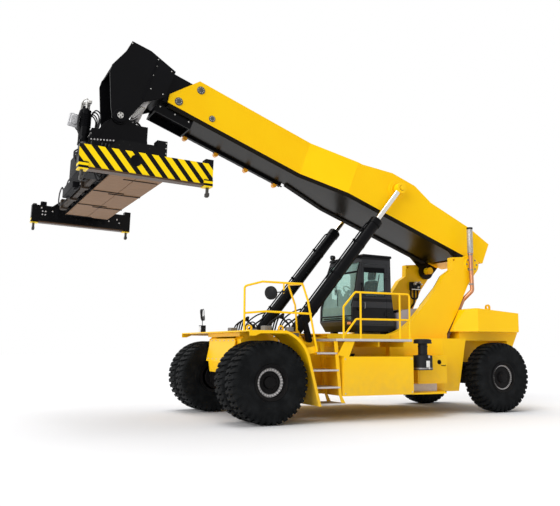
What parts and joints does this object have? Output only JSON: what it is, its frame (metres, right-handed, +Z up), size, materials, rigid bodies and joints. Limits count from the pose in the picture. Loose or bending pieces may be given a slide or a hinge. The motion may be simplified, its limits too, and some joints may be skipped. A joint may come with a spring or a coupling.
{
  "type": "reach stacker",
  "caption": "Yellow container handler on wheels with a raised telescopic boom, a cab between its lift cylinders and a hanging telescopic container spreader.",
  "frame": {"origin": "centre of the machine's plan box, at ground level", "axes": "+X forward along the machine, towards the spreader; +Y to its left; +Z up"},
  "size_m": [11.1786, 6.087, 7.7686],
  "materials": {
    "yellow_paint": "gloss",
    "grey_grating": "satin",
    "grey_paint": "satin",
    "black_paint": "gloss",
    "brown_plate": "satin",
    "cab_black": "satin",
    "tyre_rubber": "matte",
    "chrome_rod": "polished",
    "cab_glass": "clear",
    "seat_fabric": "matte",
    "cab_plastic": "matte",
    "exhaust_steel": "satin",
    "hose_rubber": "satin",
    "twistlock_steel": "satin"
  },
  "bodies": {
    "chassis": {"air_cleaner": "cab_plastic", "boom_supports": "yellow_paint", "cab_frame": "cab_black", "cab_roof": "cab_black", "cab_windows": "cab_glass", "chassis_frame": "yellow_paint", "counterweight": "yellow_paint", "cylinder_feet": "yellow_paint", "dashboard": "cab_plastic", "drive_axle": "black_paint", "engine_block": "black_paint", "engine_hood": "grey_paint", "exhaust_stack": "exhaust_steel", "front_apron": "yellow_paint", "front_deck": "yellow_paint", "handrails": "yellow_paint", "ladders": "yellow_paint", "mast_hoses": "hose_rubber", "middle_deck": "yellow_paint", "mirrors": "cab_plastic", "operator_seat": "seat_fabric", "rear_boxes": "yellow_paint", "side_tanks": "yellow_paint", "steer_axle": "black_paint", "walkways": "grey_grating"},
    "cab_door": {"cab_door": "cab_black", "door_window": "cab_glass"},
    "boom": {"outer_boom": "yellow_paint", "hose_tray": "black_paint", "tip_bracket": "black_paint", "boom_hoses": "hose_rubber"},
    "telescope": {"inner_boom": "black_paint", "boom_head": "black_paint"},
    "yoke": {"spreader_yoke": "black_paint"},
    "rotator": {"rotator": "black_paint"},
    "spreader": {"spreader_frame": "brown_plate"},
    "end_left": {"end_beam_left": "black_paint"},
    "end_right": {"end_beam_right": "black_paint"},
    "lock_front_left": {"twistlock_front_left": "twistlock_steel"},
    "lock_front_right": {"twistlock_front_right": "twistlock_steel"},
    "lock_rear_left": {"twistlock_rear_left": "twistlock_steel"},
    "lock_rear_right": {"twistlock_rear_right": "twistlock_steel"},
    "barrel_left": {"lift_barrel_left": "black_paint"},
    "rod_left": {"lift_rod_left": "chrome_rod"},
    "front_wheel_left": {"front_tyres_left": "tyre_rubber", "front_rims_left": "black_paint"},
    "steer_left": {"knuckle_left": "black_paint"},
    "rear_wheel_left": {"rear_tyre_left": "tyre_rubber", "rear_rim_left": "black_paint"},
    "barrel_right": {"lift_barrel_right": "black_paint"},
    "rod_right": {"lift_rod_right": "chrome_rod"},
    "front_wheel_right": {"front_tyres_right": "tyre_rubber", "front_rims_right": "black_paint"},
    "steer_right": {"knuckle_right": "black_paint"},
    "rear_wheel_right": {"rear_tyre_right": "tyre_rubber", "rear_rim_right": "black_paint"}
  },
  "joints": [
    {"name": "boom_lift", "type": "hinge", "parent": "chassis", "child": "boom", "pos_m": [-4.20926, 0.41995, 3.505], "axis": [0, -1, 0], "range_deg": [-17.75, 39.25]},
    {"name": "boom_extend", "type": "slide", "parent": "boom", "child": "telescope", "axis": [-0.9351, 0, -0.3543], "range_m": [-6.5, 0]},
    {"name": "spreader_swing", "type": "hinge", "parent": "telescope", "child": "yoke", "pos_m": [4.37214, 0.41995, 6.13062], "axis": [0, 1, 0], "range_deg": [-17.75, 39.25]},
    {"name": "spreader_turn", "type": "hinge", "parent": "yoke", "child": "rotator", "pos_m": [4.30515, 0.41995, 5.42805], "axis": [-0.0328, 0, 0.9995], "range_deg": [-105, 195]},
    {"name": "side_shift", "type": "slide", "parent": "rotator", "child": "spreader", "axis": [-0.0148, 0.9999, -0.0005], "range_m": [-0.38, 1.22]},
    {"name": "beam_left", "type": "slide", "parent": "spreader", "child": "end_left", "axis": [-0.0148, 0.9999, -0.0005], "range_m": [0, 3.066]},
    {"name": "beam_right", "type": "slide", "parent": "spreader", "child": "end_right", "axis": [0.0148, -0.9999, 0.0005], "range_m": [0, 3.066]},
    {"name": "lock_front_left", "type": "hinge", "parent": "end_left", "child": "lock_front_left", "pos_m": [5.43055, 2.94293, 4.43443], "axis": [-0.0328, 0, 0.9995], "range_deg": [0, 90]},
    {"name": "lock_rear_left", "type": "hinge", "parent": "end_left", "child": "lock_rear_left", "pos_m": [3.17301, 2.90942, 4.36033], "axis": [-0.0328, 0, 0.9995], "range_deg": [0, 90]},
    {"name": "lock_front_right", "type": "hinge", "parent": "end_right", "child": "lock_front_right", "pos_m": [5.51733, -2.90942, 4.43728], "axis": [-0.0328, 0, 0.9995], "range_deg": [0, 90]},
    {"name": "lock_rear_right", "type": "hinge", "parent": "end_right", "child": "lock_rear_right", "pos_m": [3.25979, -2.94293, 4.36318], "axis": [-0.0328, 0, 0.9995], "range_deg": [0, 90]},
    {"name": "door", "type": "hinge", "parent": "chassis", "child": "cab_door", "pos_m": [-1.90926, 1.18995, 2.69], "axis": [0, 0, 1], "range_deg": [0, 85]},
    {"name": "barrel_left", "type": "hinge", "parent": "chassis", "child": "barrel_left", "pos_m": [0.64074, 1.36995, 1.75], "axis": [0, -1, 0], "range_deg": [-1.8, 3.95]},
    {"name": "rod_left", "type": "slide", "parent": "barrel_left", "child": "rod_left", "axis": [-0.6341, 0, 0.7733], "range_m": [-0.82, 1.8]},
    {"name": "steer_left", "type": "hinge", "parent": "chassis", "child": "steer_left", "pos_m": [-4.54426, 1.59995, 0.8075], "axis": [0, 0, 1], "range_deg": [-50, 50]},
    {"name": "front_wheel_left", "type": "hinge", "parent": "chassis", "child": "front_wheel_left", "pos_m": [1.64074, 1.96295, 0.8075], "axis": [0, 1, 0], "continuous": true},
    {"name": "rear_wheel_left", "type": "hinge", "parent": "steer_left", "child": "rear_wheel_left", "pos_m": [-4.54426, 1.81995, 0.8075], "axis": [0, 1, 0], "continuous": true},
    {"name": "barrel_right", "type": "hinge", "parent": "chassis", "child": "barrel_right", "pos_m": [0.64074, -0.53005, 1.75], "axis": [0, -1, 0], "range_deg": [-1.8, 3.95]},
    {"name": "rod_right", "type": "slide", "parent": "barrel_right", "child": "rod_right", "axis": [-0.6341, 0, 0.7733], "range_m": [-0.82, 1.8]},
    {"name": "steer_right", "type": "hinge", "parent": "chassis", "child": "steer_right", "pos_m": [-4.54426, -0.76005, 0.8075], "axis": [0, 0, 1], "range_deg": [-50, 50]},
    {"name": "front_wheel_right", "type": "hinge", "parent": "chassis", "child": "front_wheel_right", "pos_m": [1.64074, -1.12305, 0.8075], "axis": [0, 1, 0], "continuous": true},
    {"name": "rear_wheel_right", "type": "hinge", "parent": "steer_right", "child": "rear_wheel_right", "pos_m": [-4.54426, -0.98005, 0.8075], "axis": [0, 1, 0], "continuous": true}
  ],
  "couplings": [
    {"joint": "beam_right", "follows": "beam_left", "ratio": 1},
    {"joint": "steer_right", "follows": "steer_left", "ratio": 1},
    {"joint": "lock_rear_left", "follows": "lock_front_left", "ratio": 1},
    {"joint": "lock_front_right", "follows": "lock_front_left", "ratio": 1},
    {"joint": "lock_rear_right", "follows": "lock_front_left", "ratio": 1},
    {"joint": "barrel_left", "follows": "boom_lift", "ratio": 0.1},
    {"joint": "rod_left", "follows": "boom_lift", "m_per_rad": 2.59},
    {"joint": "barrel_right", "follows": "boom_lift", "ratio": 0.1},
    {"joint": "rod_right", "follows": "boom_lift", "m_per_rad": 2.59}
  ]
}
